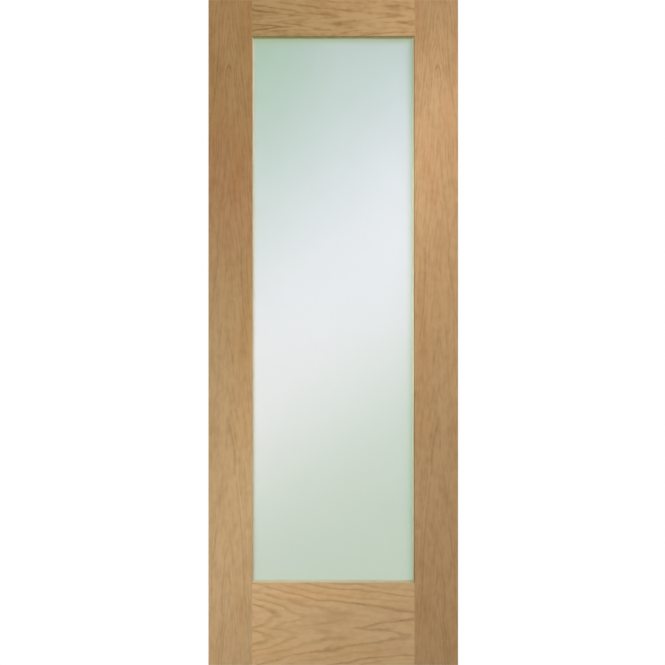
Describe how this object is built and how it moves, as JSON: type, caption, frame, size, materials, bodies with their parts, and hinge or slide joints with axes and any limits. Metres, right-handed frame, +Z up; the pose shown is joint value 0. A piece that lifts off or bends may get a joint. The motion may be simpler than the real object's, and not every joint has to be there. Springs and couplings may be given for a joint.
{
  "type": "glazed interior door leaf",
  "caption": "Oak-veneered stile-and-rail interior door leaf with one tall frosted pane held by mitred splayed beads.",
  "frame": {"origin": "on the hinge edge of the leaf, at mid-thickness, level with the foot of the leaf", "axes": "+X from the hinge edge to the lock edge, +Y from the front face to the back face, +Z up"},
  "size_m": [0.762, 0.035, 2.032],
  "materials": {
    "oak_veneer": "oak veneer, satin lacquer",
    "oak_lipping": "solid oak, satin lacquer",
    "timber_core": "glued softwood staves, sawn ends",
    "oak_bead": "pale solid oak, satin lacquer",
    "frosted_glass": "frosted, slightly green",
    "glazing_tape": "white closed-cell foam"
  },
  "bodies": {
    "root": {"hinge_stile_outer_lipping": "oak_lipping", "hinge_stile_core": "timber_core", "hinge_stile_inner_lipping": "oak_lipping", "hinge_stile_front_veneer": "oak_veneer", "hinge_stile_back_veneer": "oak_veneer", "top_rail_outer_lipping": "oak_lipping", "top_rail_core": "timber_core", "top_rail_inner_lipping": "oak_lipping", "top_rail_front_veneer": "oak_veneer", "top_rail_back_veneer": "oak_veneer", "lock_stile_outer_lipping": "oak_lipping", "lock_stile_core": "timber_core", "lock_stile_inner_lipping": "oak_lipping", "lock_stile_front_veneer": "oak_veneer", "lock_stile_back_veneer": "oak_veneer", "bottom_rail_outer_lipping": "oak_lipping", "bottom_rail_core": "timber_core", "bottom_rail_inner_lipping": "oak_lipping", "bottom_rail_front_veneer": "oak_veneer", "bottom_rail_back_veneer": "oak_veneer", "glass_pane": "frosted_glass", "front_tape_bottom": "glazing_tape", "front_tape_lock_side": "glazing_tape", "front_tape_top": "glazing_tape", "front_tape_hinge_side": "glazing_tape", "back_tape_bottom": "glazing_tape", "back_tape_lock_side": "glazing_tape", "back_tape_top": "glazing_tape", "back_tape_hinge_side": "glazing_tape", "front_bead_bottom": "oak_bead", "front_bead_lock_side": "oak_bead", "front_bead_top": "oak_bead", "front_bead_hinge_side": "oak_bead", "back_bead_bottom": "oak_bead", "back_bead_lock_side": "oak_bead", "back_bead_top": "oak_bead", "back_bead_hinge_side": "oak_bead"}
  },
  "joints": []
}
